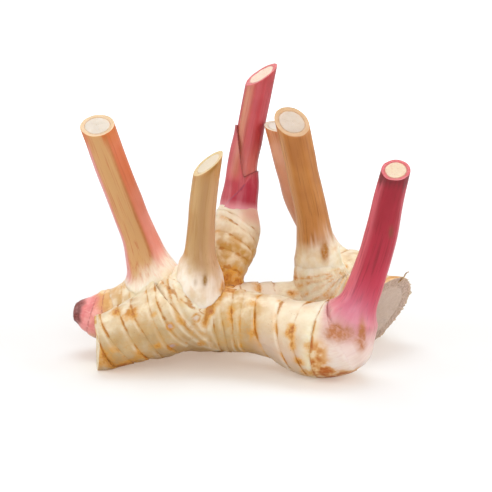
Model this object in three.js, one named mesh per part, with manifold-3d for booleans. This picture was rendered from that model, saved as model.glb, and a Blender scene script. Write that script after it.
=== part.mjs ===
// A fresh greater galangal root: one branching rhizome with ringed limbs, the cut stubs of its
// leafy stems, the leaf sheath that wraps one of them, and a pink shoot bud.
// Units are millimetres. +Z is up, +X runs along the root's longest side, and -Y is its front.
import * as THREE from "three";
import { ParametricGeometry } from "three/addons/geometries/ParametricGeometry.js";
import { mergeVertices } from "three/addons/utils/BufferGeometryUtils.js";
import Module from "manifold-3d";

const wasm = await Module();
wasm.setup();

// ---- driving dimensions ----
const ORIGIN = [-1.18, 5.41, 0]; // middle of the root's footprint, in the frame of the stations below
const GAP = 0.3; // clearance between neighbouring pieces
const RING_PITCH = 8.5; // leaf scars stand this far apart along a limb
const RING_STEP = 0.7; // how far the lip of a leaf scar stands proud of the next internode
const RING_FOOT = 0.8; // length of the slope below a lip
const LUMP = 0.035; // unevenness of a limb's section, as a share of its radius
const CUT_BLOCK = 400; // side of the block that trims an end flat

// Each station is [x, y, z, radius] of a round section.
const LIMBS = {
  left: [
    [-82, -17, 11.8, 12.6],
    [-70, -16, 12.4, 13],
    [-60, -16, 15.2, 14.2],
    [-50, -15.3, 18.8, 15.3],
    [-40, -14, 22.3, 16.7],
    [-31, -12.5, 26.8, 16.2],
    [-26, -12.5, 31.5, 12.6],
    [-24, -12.5, 35, 8.5],
  ],
  heart: [
    [-33, -12, 22.5, 15.8],
    [-22, -11.5, 23.8, 16.6],
    [-12, -9.5, 24, 15],
  ],
  front: [
    [-18, -9.5, 22.5, 13],
    [-9, -12.5, 22.8, 14.3],
    [2, -17, 22.8, 14],
    [13.5, -22, 21.9, 14.6],
    [25, -26.5, 19.3, 16.3],
    [37, -30, 17.3, 17.2],
    [48, -31, 17.2, 17.2],
  ],
  left_rear: [
    [-22, 0, 20, 14.5],
    [-32, 4, 20.5, 15],
    [-40, 6.5, 22.5, 15],
    [-43, 7.5, 29, 12],
  ],
  bud_arm: [
    [-42, 5.5, 19.5, 14],
    [-52, 6.5, 19.8, 14.3],
    [-60, 7, 19.3, 13.6],
    [-65, 7, 19, 12.6],
  ],
  bridge: [
    [-20, 0, 24, 13.5],
    [-13, 12, 14.3, 14.8],
    [-2, 18, 19.5, 13],
    [12, 20.5, 21.6, 11.6],
    [26, 22, 20, 13],
  ],
  riser: [
    [-9, 18, 22, 9],
    [-8, 20.5, 31, 6.8],
    [-7.6, 23.5, 39, 8.6],
    [-6.6, 28, 48, 11.6],
    [-5, 32, 57, 12.3],
    [-4, 35, 65, 10.5],
  ],
  rear: [
    [86, 0, 15, 16.5],
    [74, 7, 17.9, 17.6],
    [63, 12, 17.6, 18.6],
    [52, 16.5, 19.8, 18.8],
    [44, 20, 22.5, 18],
    [39, 21.5, 28, 14.8],
    [37, 22, 33, 10.5],
  ],
  rear_shoulder: [
    [61, 25, 24, 14],
    [54, 36, 29, 14.4],
    [45, 43.5, 30, 13],
  ],
};

// Planes at which a limb ends: two knife cuts, and the scar where the right stem's bulb begins.
const LIMB_ENDS = {
  left: { at: [-71, -16, 12], normal: [-1, -0.16, 0.06] },
  front: { at: [36.5, -30, 17], normal: [0.907, -0.42, 0] },
  rear: { at: [71, 7, 20], normal: [0.74, -0.5, -0.45] },
};

// A stem is one limb, trimmed by the cut at its top; a bulb joins it where the stem has a swollen foot.
const STEMS = {
  stem_left: {
    stations: [
      [-43, 7.5, 27, 12],
      [-44.8, 8, 37.8, 13.4],
      [-48.5, 8, 48, 10.2],
      [-51.9, 7, 59.3, 8.5],
      [-56, 4, 72, 8.1],
      [-61.3, 0, 88.5, 7.9],
      [-72, -8, 124, 7.7],
    ],
    cut: { at: [-69.3, -6, 115.4], normal: [-0.12, -0.3, 1] },
  },
  stem_front: {
    stations: [
      [-22.8, -13, 28.6, 9.4],
      [-22.5, -14, 37, 11.2],
      [-22, -13, 46.5, 9.9],
      [-22, -12, 56.5, 7.4],
      [-21.3, -12, 67.5, 6.6],
      [-20.4, -12.5, 79.3, 6.4],
      [-16.5, -14, 108, 6.2],
    ],
    cut: { at: [-18.6, -13, 98.5], normal: [-0.75, -0.35, 1] },
  },
  stem_back: {
    stations: [
      [-4.2, 34, 60, 7],
      [-3.6, 36, 68, 7],
      [-2, 38, 78, 6.6],
      [-0.4, 40, 90.8, 6.6],
      [2.2, 42, 105, 6.7],
      [5.3, 44, 120.7, 6.8],
      [9.5, 46, 142, 6.8],
    ],
    cut: { at: [7.3, 45.5, 133], normal: [-0.62, -0.28, 1] },
  },
  stem_brown: {
    stations: [
      [37, 22, 26, 12],
      [36.6, 22, 37, 13.2],
      [35.6, 21.5, 46, 10.9],
      [34.2, 20.5, 57.5, 8.8],
      [32.3, 19, 70, 7.9],
      [28.6, 16.5, 86.5, 7.5],
      [20.5, 10.5, 124, 7.5],
    ],
    cut: { at: [22.6, 12, 114.6], normal: [0.12, -0.85, 1] },
  },
  stem_rear: {
    stations: [
      [42, 46.5, 28, 9.5],
      [41.5, 46.5, 35, 10],
      [39.5, 46, 43, 9],
      [35.6, 45, 52, 7.4],
      [27.7, 42, 68, 6.5],
      [23.1, 39, 83, 6.3],
      [14.8, 33, 116, 6.3],
    ],
    cut: { at: [16.5, 34, 110.3], normal: [0.1, -0.3, 1] },
  },
  stem_right: {
    stations: [
      [46.5, -31, 21, 13],
      [49.5, -31, 30, 10.7],
      [52, -31.3, 36.5, 9.2],
      [54.3, -31.6, 43, 8.5],
      [57.5, -32.2, 53.5, 8],
      [61.4, -34.3, 69.7, 7.7],
      [64.1, -37, 85.7, 7.2],
      [68.5, -41, 108, 6.9],
    ],
    cut: { at: [67, -40, 101], normal: [0.1, -0.45, 1] },
    bulb: [
      [25, -26.5, 18, 16.6],
      [37, -30, 17.3, 17],
      [42.5, -31, 18.3, 15.4],
      [45, -31.2, 19, 14.4],
    ],
    foot: LIMB_ENDS.front,
  },
};

const SHEATH = {
  stations: [
    [-4.2, 35, 63, 9.4],
    [-4, 36, 68, 9.4],
    [-2.6, 38, 77, 8.5],
    [-1.4, 40, 90, 7.9],
    [1.6, 42, 103, 7.7],
    [2.4, 42.5, 107, 7.7],
  ],
  slant: { at: [-2.2, 32.5, 88], normal: [0.99, 0.03, 0.12] },
  level: { at: [-1.5, 31, 83.3], normal: [-0.45, 0.21, 0.87] },
};

const BUD = [
  [-60, 7, 19.2, 11.5],
  [-66, 7, 18.6, 12.2],
  [-72, 7, 18.2, 11.6],
  [-77, 7, 19, 9.2],
  [-81, 7, 20, 6.6],
  [-83.3, 7, 20.4, 4.4],
];

// ---- shapes ----

// Centre line and radius through the stations, read by distance along the line.
function spine(stations) {
  const line = new THREE.CatmullRomCurve3(stations.map(([x, y, z]) => new THREE.Vector3(x, y, z)));
  const radii = new THREE.CatmullRomCurve3(stations.map(([, , , r]) => new THREE.Vector3(r, 0, 0)));
  const length = line.getLength();
  return {
    length,
    at(distance) {
      const t = line.getUtoTmapping(THREE.MathUtils.clamp(distance / length, 0, 1));
      return { centre: line.getPoint(t), tangent: line.getTangent(t), radius: radii.getPoint(t).x };
    },
  };
}

// Distances along a limb at which a section is needed: three for each internode, or evenly spaced.
function sectionDistances(length, ringed) {
  const count = Math.max(2, Math.round(length / RING_PITCH));
  const pitch = length / count;
  const distances = [];
  for (let k = 0; k < count; k++) {
    if (ringed) distances.push(k * pitch, k * pitch + RING_FOOT, (k + 0.55) * pitch);
    else distances.push(k * pitch);
  }
  distances.push(length);
  return { distances, pitch };
}

// A closed limb: an uneven round section carried along the stations, with a domed start and end.
// Ringed limbs widen along each internode up to the lip of the next leaf scar.
function limb(stations, { ringed = false, grow = 0, sides = 24, dome = 0.55, phase = 0 } = {}) {
  const { length, at } = spine(stations);
  const { distances, pitch } = sectionDistances(length, ringed);
  const sections = [];
  const across = new THREE.Vector3(0.31, 0.52, 0.79);
  const addSection = (distance, share, slide) => {
    const { centre, tangent, radius } = at(distance);
    across.addScaledVector(tangent, -across.dot(tangent)).normalize();
    const along = ((distance % pitch) + pitch) % pitch;
    const lip = ringed ? RING_STEP * (along < 0.01 ? 0.5 : (along - RING_FOOT) / pitch - 0.5) : 0;
    sections.push({
      centre: centre.clone().addScaledVector(tangent, slide * (radius + grow)),
      u: across.clone(),
      w: new THREE.Vector3().crossVectors(tangent, across),
      radius: share * (radius + lip + grow),
      lump: LUMP * share * radius,
      distance,
    });
  };
  const domeSteps = [0, 0.35, 0.68, 0.9];
  domeSteps.forEach((share) => addSection(0, share, -dome * Math.sqrt(1 - share * share)));
  distances.forEach((distance) => addSection(distance, 1, 0));
  domeSteps.reverse().forEach((share) => addSection(length, share, dome * Math.sqrt(1 - share * share)));

  const last = sections.length - 1;
  const surface = (u, v, target) => {
    const s = sections[Math.round(v * last)];
    const angle = u * 2 * Math.PI;
    const uneven = Math.sin(2 * angle + phase + s.distance / 19) + 0.6 * Math.sin(3 * angle - s.distance / 13);
    const r = s.radius + s.lump * uneven;
    target.copy(s.centre).addScaledVector(s.u, r * Math.cos(angle)).addScaledVector(s.w, r * Math.sin(angle));
  };
  return toSolid(new ParametricGeometry(surface, sides, last));
}

// A three.js geometry as a solid: shared vertices merged, collapsed pole faces dropped, faces out.
function toSolid(geometry) {
  geometry.deleteAttribute("normal");
  geometry.deleteAttribute("uv");
  const merged = mergeVertices(geometry, 1e-4);
  const index = merged.index.array;
  const kept = [];
  for (let i = 0; i < index.length; i += 3) {
    const [a, b, c] = [index[i], index[i + 1], index[i + 2]];
    if (a !== b && b !== c && a !== c) kept.push(a, b, c);
  }
  const build = (triVerts) =>
    new wasm.Manifold(
      new wasm.Mesh({
        numProp: 3,
        vertProperties: merged.attributes.position.array,
        triVerts: new Uint32Array(triVerts),
      }),
    );
  const solid = build(kept);
  return solid.volume() > 0 ? solid : build(kept.reverse());
}

// A solid as a three.js geometry.
function toGeometry(solid) {
  const mesh = solid.getMesh();
  const geometry = new THREE.BufferGeometry();
  geometry.setAttribute("position", new THREE.BufferAttribute(mesh.vertProperties, 3));
  geometry.setIndex(new THREE.BufferAttribute(mesh.triVerts, 1));
  geometry.computeVertexNormals();
  return geometry;
}

// Everything on the side of the plane that the normal points to.
function halfSpace(at, normal) {
  const block = new THREE.BoxGeometry(CUT_BLOCK, CUT_BLOCK, CUT_BLOCK);
  block.translate(0, 0, CUT_BLOCK / 2);
  const up = new THREE.Vector3(0, 0, 1);
  const turn = new THREE.Quaternion().setFromUnitVectors(up, new THREE.Vector3(...normal).normalize());
  block.applyQuaternion(turn);
  block.translate(...at);
  return toSolid(block);
}

// ---- pieces ----
const floor = halfSpace([0, 0, 0], [0, 0, -1]);

function stemSolid({ stations, cut, bulb, foot }, grow) {
  let stem = limb(stations, { grow, sides: 20, dome: 0.4 });
  if (bulb) {
    const back = foot.normal.map((n) => -n);
    const seam = halfSpace(foot.at, back).translate(foot.normal.map((n) => n * (GAP - grow)));
    stem = stem.add(limb(bulb, { grow, sides: 24, dome: 1 })).subtract(seam);
  }
  return stem.subtract(halfSpace(cut.at, cut.normal)).subtract(floor);
}

function sheathSolid(grow) {
  const opening = halfSpace(SHEATH.slant.at, SHEATH.slant.normal).intersect(
    halfSpace(SHEATH.level.at, SHEATH.level.normal),
  );
  return limb(SHEATH.stations, { grow, sides: 20, dome: 0.1 }).subtract(opening);
}

function rhizomeSolid() {
  const limbs = Object.entries(LIMBS).map(([name, stations], i) => {
    const whole = limb(stations, { ringed: true, sides: 20, phase: i * 1.7 });
    const end = LIMB_ENDS[name];
    return end ? whole.subtract(halfSpace(end.at, end.normal)) : whole;
  });
  return limbs.reduce((a, b) => a.add(b)).subtract(floor);
}

const MATERIALS = {
  rhizome: { color: "#e9d3a6", roughness: 0.55 },
  stem_left: { color: "#d99a68", roughness: 0.4 },
  stem_front: { color: "#d3b384", roughness: 0.4 },
  stem_back: { color: "#c8525c", roughness: 0.4 },
  leaf_sheath: { color: "#b83a52", roughness: 0.4 },
  stem_brown: { color: "#c08a50", roughness: 0.4 },
  stem_rear: { color: "#d99a78", roughness: 0.4 },
  stem_right: { color: "#bb3a50", roughness: 0.4 },
  shoot_bud: { color: "#e08a90", roughness: 0.45 },
};

const root = new THREE.Group();

function addPiece(name, solid) {
  const material = new THREE.MeshStandardMaterial({ metalness: 0, ...MATERIALS[name] });
  const mesh = new THREE.Mesh(toGeometry(solid), material);
  mesh.name = name;
  mesh.position.set(-ORIGIN[0], -ORIGIN[1], -ORIGIN[2]);
  root.add(mesh);
}

const bud = limb(BUD, { sides: 20 }).subtract(stemSolid(STEMS.stem_left, GAP));
let rhizome = rhizomeSolid().subtract(limb(BUD, { grow: GAP, sides: 20 }));
rhizome = rhizome.subtract(sheathSolid(GAP));
for (const [name, stem] of Object.entries(STEMS)) {
  rhizome = rhizome.subtract(stemSolid(stem, GAP));
  addPiece(name, stemSolid(stem, 0));
}
addPiece("leaf_sheath", sheathSolid(0).subtract(stemSolid(STEMS.stem_back, GAP)));
addPiece("shoot_bud", bud);
addPiece("rhizome", rhizome);

export default root;
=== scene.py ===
"""Looks of a fresh greater galangal root: a ringed rhizome, six cut stems, a leaf sheath and a shoot bud.

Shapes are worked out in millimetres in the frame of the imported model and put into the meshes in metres.
"""
import itertools
import math

import bpy
import numpy as np
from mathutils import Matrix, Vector


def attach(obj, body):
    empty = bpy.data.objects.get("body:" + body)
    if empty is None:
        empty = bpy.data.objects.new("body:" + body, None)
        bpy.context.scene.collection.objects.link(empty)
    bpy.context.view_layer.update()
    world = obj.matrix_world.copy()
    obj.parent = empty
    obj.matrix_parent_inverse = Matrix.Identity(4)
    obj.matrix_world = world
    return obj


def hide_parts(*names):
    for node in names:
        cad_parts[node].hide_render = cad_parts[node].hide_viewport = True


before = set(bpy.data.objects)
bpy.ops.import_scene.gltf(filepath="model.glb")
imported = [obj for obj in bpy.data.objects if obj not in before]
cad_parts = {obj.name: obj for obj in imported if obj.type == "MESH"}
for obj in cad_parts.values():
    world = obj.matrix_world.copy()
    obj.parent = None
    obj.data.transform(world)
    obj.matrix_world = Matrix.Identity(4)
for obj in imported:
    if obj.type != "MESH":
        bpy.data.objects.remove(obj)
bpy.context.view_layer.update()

METRES = 0.001
LATTICE = 24  # unevenness repeats after this many of its cells
STRETCH_STEPS = 40  # points of a centre line between two stations
CUT_STEPS, NEAR_STEPS = 400, 70  # points of a centre line tried for a cut, and for the nearest distance
ORIGIN = np.array([-1.18, 5.41, 0.0, 0.0])  # middle of the footprint, in the frame of the stations below
FRONT = (0.0, -1.0, 0.0)

# Every station is [x, y, z, radius] of a round section, in mm.
# A ring is a leaf scar: its distance along the limb, how far it leans along per mm towards the section's
# front and towards its side, and how dark it is. straw is how yellow the limb is, and lip is how far its
# scars stand proud.
LIMBS = {
    "left": {
        "straw": 0.35,
        "stations": [
            [-82, -17, 11.8, 12.6], [-70, -16, 12.4, 13], [-60, -16, 15.2, 14.2], [-50, -15.3, 18.8, 15.3],
            [-40, -14, 22.3, 16.7], [-31.5, -12.5, 27.2, 16.2], [-27.5, -11, 34, 13.8], [-25, -9.5, 40, 11.6],
            [-24, -9, 44, 8.8],
        ],
        "rings": [
            [14.3, 0, 0.25, 1], [20, 0.1, 0.27, 0.9], [29, 0, 0.16, 0.8], [36.5, -0.12, 0.2, 0.3],
            [43.5, -0.16, 0.08, 0.5], [51, -0.3, 0.12, 0.5], [57, -0.25, -0.05, 0.8],
            [62.5, -0.22, -0.05, 0.7], [68, -0.1, 0, 0.4],
        ],
        "start_cut": {"at": [-71, -16, 12], "normal": [-1, -0.16, 0.06]},
        "sides": 120,
    },
    "heart": {
        "straw": 0.35,
        "stations": [[-31, -11.5, 21.5, 14.2], [-22, -11, 22.3, 15], [-12, -9.5, 23, 14.2]],
        "rings": [],
        "sides": 72,
    },
    "front": {
        "straw": 0.6,
        "stations": [
            [-17.5, -12.5, 22.8, 13.4], [-9, -14, 22.8, 14.5], [2, -17.2, 22.8, 14.1],
            [13.5, -22, 22.1, 14.5], [25, -26.5, 19.3, 16.3], [37, -30, 17.3, 17.2], [48, -31, 17.2, 17.2],
        ],
        "rings": [
            [4, 0.1, 0.25, 0.4], [9, 0.1, 0.2, 0.3], [14.5, 0.08, 0.16, 0.9], [18.5, 0.12, 0.1, 0.4],
            [29.8, -0.04, 0.35, 0.8], [41.8, -0.1, 0.45, 0.5], [50.8, -0.2, 0.33, 0.7],
        ],
        "end_cut": {"at": [36.5, -30, 17], "normal": [0.907, -0.42, 0]},
        "sides": 120,
    },
    "left_rear": {
        "straw": 0.3,
        "stations": [[-22, 0, 20, 14.5], [-32, 4, 20.5, 15], [-40, 6.5, 22.5, 15], [-43, 7.5, 29, 12]],
        "rings": [[8, 0, 0, 0.6], [15, 0.1, 0, 0.8], [21, 0, 0, 0.6]],
        "sides": 80,
    },
    "bud_arm": {
        "straw": 0.6,
        "stations": [[-42, 5.5, 20, 14], [-52, 6.5, 20.5, 14.5], [-60, 7, 20.2, 13.7], [-65, 7, 20, 12.6]],
        "rings": [[7, 0, 0.1, 0.5], [12.5, 0, 0.1, 0.4], [18, 0, 0, 0.3]],
        "sides": 96,
    },
    "bridge": {
        "straw": 0.1,
        "stations": [
            [-20, 0, 24, 13.5], [-13, 12, 14.3, 14.8], [-2, 18, 18.8, 13], [12, 20.5, 20.4, 11.6],
            [26, 22, 18.6, 12.6],
        ],
        "rings": [
            [9, 0, 0, 0.5], [17, 0, 0, 0.5], [25, 0.1, 0, 0.8], [33, 0, 0.1, 0.7], [40.5, 0, 0, 0.8],
            [47.5, 0, 0.1, 0.9],
        ],
        "sides": 96,
    },
    "riser": {
        "straw": 0.55,
        "stations": [
            [-9, 18, 22, 9], [-8.6, 20.5, 31, 6.6], [-7.9, 23.5, 39, 8.3],
            [-6.6, 28, 48, 11.6], [-5, 32, 57, 12.3], [-4, 35, 65, 10.5],
        ],
        "rings": [
            [9, 0, -0.15, 0.5], [16, 0, -0.25, 0.7], [22.5, 0.1, -0.35, 0.6], [29, 0.15, -0.45, 0.6],
            [35, 0.3, -0.5, 0.6], [39.5, 0.3, -0.45, 0.3],
        ],
        "lip": 0.7,
        "sides": 108,
    },
    "rear": {
        "straw": 0.35,
        "stations": [
            [86, 0, 16.4, 17.8], [74, 7, 18.9, 18.7], [63, 12, 18, 18.8], [52, 16.5, 19.8, 18.8],
            [44.5, 20, 22.5, 18], [40, 21.5, 29, 15.6], [38, 22, 34.5, 13.2], [36.8, 22, 40, 11.4],
            [36.2, 21.8, 45, 9.6],
        ],
        "rings": [[33, 0, 0, 0.6], [40, 0, 0, 0.5], [46, 0, 0, 0.4], [51, 0, 0, 0.3], [56, 0, 0, 0.2]],
        "start_cut": {"at": [65.6, 12, 17.6], "normal": [0.62, -0.68, -0.4]},
        "frayed": 1.3,
        "sides": 200,
    },
    "rear_shoulder": {
        "straw": 0.35,
        "stations": [[61, 25, 24.5, 14], [54, 36, 29.6, 14.4], [45, 43.5, 30.6, 13]],
        "rings": [[6, 0, 0, 0.6], [13, 0, 0, 0.6], [19, 0, 0, 0.5]],
        "front": (0, 0, 1),
        "sides": 80,
    },
}
LIP = 0.55  # how far a leaf scar stands proud, where a limb has no lip of its own
LIP_ROWS = np.array([-1.4, -0.75, -0.35, -0.1, 0.1, 0.3, 0.65, 1.2])  # rows packed about a leaf scar
ROW_PITCH = 0.85  # between a limb's other rows
SCAR_CLEAR, END_CLEAR = 1.6, 0.2  # how far other rows keep from a scar, and packed rows from a limb's ends
NO_SCAR = 1000.0  # stands for the next scar on a limb that has none
FILLET = 2.6  # reach of the round where two limbs meet
# Reach of the round where each stem leaves the root, and where the right stem stands on its bulb.
FEET = {"stem_left": 8.5, "stem_front": 7, "stem_brown": 4, "stem_rear": 5, "stem_right": 10}
FOOT_LENGTH = 32  # how much of a stem its foot's round can reach
BULB_ROUND = 10.0
MOST = 1.2  # the strongest that a stain or scar gets
STEM_SIDES, STEM_PITCH = 112, 0.9
# Rows of a cut face, as shares of the way from its rim to its middle. Fibres end in a ring at 0.25.
FACE_ROWS = np.array([
    0.012, 0.03, 0.07, 0.12, 0.18, 0.22, 0.25, 0.28, 0.33, 0.42, 0.52, 0.64, 0.76, 0.88, 0.96,
])
DOME_ROWS = np.array([0.95, 0.8, 0.55, 0.25])  # rows of a rounded end, as shares of its section

STEMS = {
    "stem_left": {
        "stations": [
            [-43.6, 7.5, 27, 12], [-45.4, 8, 37.8, 13.2], [-48.8, 8, 48, 10.4], [-52.1, 7, 59.3, 8.7],
            [-56.2, 4, 72, 8.3], [-61.5, 0, 88.5, 8.1], [-72.2, -8, 124, 7.9],
        ],
        "end_cut": {"at": [-69.3, -6, 115.8], "normal": [-0.12, -0.56, 1]},
    },
    "stem_front": {
        "stations": [
            [-22.8, -13, 28.6, 9.4], [-22.4, -14, 37, 10.8], [-21.9, -13, 46.5, 9.3], [-21.8, -12, 56.5, 7.3],
            [-21.1, -12, 67.5, 6.5], [-20.2, -12.5, 79.3, 6.3], [-16.3, -14, 108, 6.2],
        ],
        "end_cut": {"at": [-18.6, -13, 98.5], "normal": [-0.7, -0.38, 1]},
    },
    "stem_back": {
        "stations": [
            [-4.2, 34, 60, 7], [-3.6, 36, 68, 7], [-2, 38, 78, 6.6], [-0.4, 40, 90.8, 6.6],
            [2.2, 42, 105, 6.7], [5.3, 44, 120.7, 6.8], [9.5, 46, 142, 6.8],
        ],
        "end_cut": {"at": [7.3, 45.5, 133.2], "normal": [-0.55, -0.3, 1]},
    },
    "stem_brown": {
        "stations": [
            [37, 22, 26, 10], [36.8, 22, 37, 11.4], [35.6, 21.5, 46, 10.5], [34, 20.5, 57.5, 8.9],
            [32, 19, 70, 8], [28.2, 16.5, 86.5, 7.8], [20, 10.5, 124, 8.1],
        ],
        "end_cut": {"at": [22, 12, 114.6], "normal": [0.12, -0.85, 1]},
    },
    "stem_rear": {
        "stations": [
            [42, 46.5, 28, 9.5], [41.5, 46.5, 35, 10], [39.5, 46, 43, 9], [35.6, 45, 52, 7.4],
            [27.2, 42, 68, 6.6], [22.5, 39, 83, 6.4], [14.1, 33, 116, 6.3],
        ],
        "end_cut": {"at": [15.9, 34, 108.8], "normal": [0.1, -0.3, 1]},
    },
    "stem_right": {
        "stations": [
            [45.5, -31, 20.5, 12.2], [49.3, -31, 30, 10.6], [52, -31.3, 36.5, 9.2], [54.3, -31.6, 43, 8.5],
            [57.6, -32.2, 53.5, 7.9], [61.6, -34.3, 69.7, 7.5], [64.2, -37, 85.7, 6.9],
            [68.3, -41, 108, 6.3],
        ],
        "end_cut": {"at": [67, -40, 100.8], "normal": [0, -0.62, 1]},
    },
}
BULB = {
    "stations": [
        [25, -26.5, 18, 16.6], [37, -30, 17.3, 17], [42.5, -31, 18, 15.4], [45.5, -31.2, 19.4, 13.2],
    ],
    "start_cut": {"at": [36.5, -30, 17], "normal": [-0.907, 0.42, 0]},
}
# The sheath's rim follows two planes, and the opening lies beyond both.
SHEATH = {
    "stations": [
        [-4.2, 35, 63, 9.4], [-4, 36, 68, 9.4], [-2.6, 38, 77, 8.5],
        [-1.4, 40, 90, 7.9], [1.6, 42, 103, 7.7], [2.4, 42.5, 107, 7.7],
    ],
    "slant": {"at": [-2.2, 32.5, 88], "normal": [0.99, 0.03, 0.12]},
    "level": {"at": [-1.5, 31, 83.3], "normal": [-0.45, 0.21, 0.87]},
}
SHEATH_SIDES, SHEATH_ROWS, SHEATH_STEPS = 160, 60, 300
# Rows over the sheath's rim and down its inside: depth below the outside, and distance below the rim.
RIM_ROWS = np.array([
    [0.12, -0.12], [0.35, -0.2], [0.65, -0.12], [0.85, 0.15], [0.9, 1], [0.95, 3], [1, 6],
])
# A shoot bud's stations, and where its two scales end along it.
BUD = [
    [-60, 7, 20.2, 11.5], [-66, 7, 19.6, 12.2], [-72, 7, 19.1, 11.6],
    [-77, 7, 19.7, 9.3], [-81, 7, 20.6, 6.9], [-83.6, 7, 21, 4.8],
]
SCALE_ENDS = (8.5, 15)
BUD_SIDES, BUD_ROWS = 96, 44
# A root hair's bends from where it leaves the root: [x, y, z, radius].
HAIR_BENDS = [[-2, 1, -2, 0.5], [0, 0, 0, 0.42], [2, -0.5, 2, 0.36], [3.2, -1, 4.4, 0.3], [4.6, -1, 5.2, 0.2]]
HAIR_PLACE = (78, 4, 35)
HAIR_SIDES, HAIR_ROWS = 10, 24


# ---- paths and unevenness ----

def unit(vectors):
    """Vectors scaled to length 1."""
    return vectors / np.linalg.norm(vectors, axis=-1, keepdims=True)


def ease(value, low, high):
    """0 below low, 1 above high, and 3x^2 - 2x^3 of the share x between them."""
    share = np.clip((value - low) / (high - low), 0, 1)
    return share * share * (3 - 2 * share)


def bell(away, width):
    """exp(-(away / width)^2), which is 1 at a line or place and dies away on both sides."""
    return np.exp(-((away / width) ** 2))


def lumps(points, size, seed):
    """Smooth unevenness between -1 and 1: random heights on a lattice this many mm wide, eased between."""
    heights = np.random.default_rng(seed).uniform(-1, 1, (LATTICE, LATTICE, LATTICE))
    place = points / size
    cell = np.floor(place).astype(int)
    share = ease(place - cell, 0, 1)
    total = np.zeros(points.shape[:-1])
    for corner in itertools.product((0, 1), repeat=3):
        weight = np.prod(np.where(corner, share, 1 - share), axis=-1)
        x, y, z = np.moveaxis((cell + corner) % LATTICE, -1, 0)
        total += weight * heights[x, y, z]
    return total


class Path:
    """A centre line through stations, read by the distance along it.

    Each stretch is a cubic through its stations with centripetal Catmull-Rom slopes. A section's angle 0
    faces the front direction, and its angle 90 degrees faces side = along x front.
    """

    def __init__(self, stations, front=FRONT):
        given = np.array(stations, float) - ORIGIN
        padded = np.vstack([2 * given[0] - given[1], given, 2 * given[-1] - given[-2]])
        gaps = np.sqrt(np.linalg.norm(np.diff(padded[:, :3], axis=0), axis=1))[:, None]
        before, start, end, after = padded[:-3], padded[1:-2], padded[2:-1], padded[3:]
        g0, g1, g2 = gaps[:-2], gaps[1:-1], gaps[2:]
        leave = ((start - before) / g0 - (end - before) / (g0 + g1) + (end - start) / g1) * g1
        arrive = ((end - start) / g1 - (after - start) / (g1 + g2) + (after - end) / g2) * g1
        t = np.linspace(0, 1, STRETCH_STEPS, endpoint=False)[None, :, None]
        line = (
            start[:, None] * (2 * t**3 - 3 * t**2 + 1) + leave[:, None] * (t**3 - 2 * t**2 + t)
            + end[:, None] * (-2 * t**3 + 3 * t**2) + arrive[:, None] * (t**3 - t**2)
        )
        line = np.vstack([line.reshape(-1, 4), given[-1:]])
        self.run = np.r_[0, np.cumsum(np.linalg.norm(np.diff(line[:, :3], axis=0), axis=1))]
        self.length = self.run[-1]
        along = unit(np.gradient(line[:, :3], self.run, axis=0))
        facing = unit(np.array(front) - along * (along @ np.array(front))[:, None])
        self.table = np.hstack([line, along, facing, np.cross(along, facing)])

    def at(self, distance):
        """Centre, radius, along, front and side at distances of any shape."""
        table = np.stack([np.interp(distance, self.run, column) for column in self.table.T], -1)
        return table[..., :3], table[..., 3], table[..., 4:7], table[..., 7:10], table[..., 10:13]

    def near(self, points, low=0.0, high=None):
        """Signed distance from the points to the plain limb: the least |point - centre| - radius along it."""
        centre, radius, *_ = self.at(np.linspace(low, high or self.length, NEAR_STEPS))
        flat = points.reshape(-1, 3)
        best = np.full(len(flat), np.inf)
        for middle, reach in zip(centre, radius):
            best = np.minimum(best, np.linalg.norm(flat - middle, axis=1) - reach)
        return best.reshape(points.shape[:-1])


def skin_at(path, distance, angle):
    """Plain skin: points centre(s) + radius(s) * outward(angle), their outward directions, and their grain.

    Outward is front * cos(angle) + side * sin(angle). The grain is (radius * cos(angle),
    radius * sin(angle), distance), in which fibres run along the third direction.
    """
    centre, radius, _, front, side = path.at(distance)
    cosine, sine = np.cos(angle), np.sin(angle)
    outward = front * cosine[..., None] + side * sine[..., None]
    grain = np.stack([radius * cosine, radius * sine, distance], -1)
    return centre + radius[..., None] * outward, outward, grain


def past_plane(points, plane):
    """How far the points lie beyond a plane, along its normal."""
    return (points - (np.array(plane["at"]) - ORIGIN[:3])) @ unit(np.array(plane["normal"], float))


def cut_distances(path, angle, cut, end):
    """Where each angle's line along the limb meets the cutting plane, as a distance along the limb."""
    trial = np.linspace(0, path.length, CUT_STEPS)
    beyond = past_plane(skin_at(path, trial[:, None] + 0 * angle, angle)[0], cut)
    outside = beyond > 0
    step = np.where(end, np.argmax(outside, axis=0), len(trial) - np.argmax(outside[::-1], axis=0))
    step = np.clip(step, 1, len(trial) - 1)
    column = np.arange(len(angle))
    before, after = beyond[step - 1, column], beyond[step, column]
    return trial[step - 1] + (trial[1] - trial[0]) * before / (before - after)


def onto_plane(points, along, cut):
    """Points slid along the limb's direction onto the cutting plane."""
    slope = along @ unit(np.array(cut["normal"], float))
    return points - along * (past_plane(points, cut) / slope)[..., None]


# ---- limbs ----

def ring_lines(path, rings, angle, seed):
    """How far each leaf scar strays along the limb at each angle, in mm.

    radius * (front lean * cos(angle) + side lean * sin(angle)), which tips its plane, plus slow random
    waves round the limb.
    """
    distance, front_lean, side_lean, _ = rings.T[..., None]
    radius = path.at(distance)[1]
    random = np.random.default_rng(seed)
    stray = radius * (front_lean * np.cos(angle) + side_lean * np.sin(angle))
    for waves, height in ((1, 0.45), (2, 0.4), (3, 0.3), (5, 0.2), (9, 0.1)):
        strength = random.uniform(-height, height, (len(rings), 1))
        stray += strength * np.sin(waves * angle + random.uniform(0, 6.28, (len(rings), 1)))
    return stray


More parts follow.
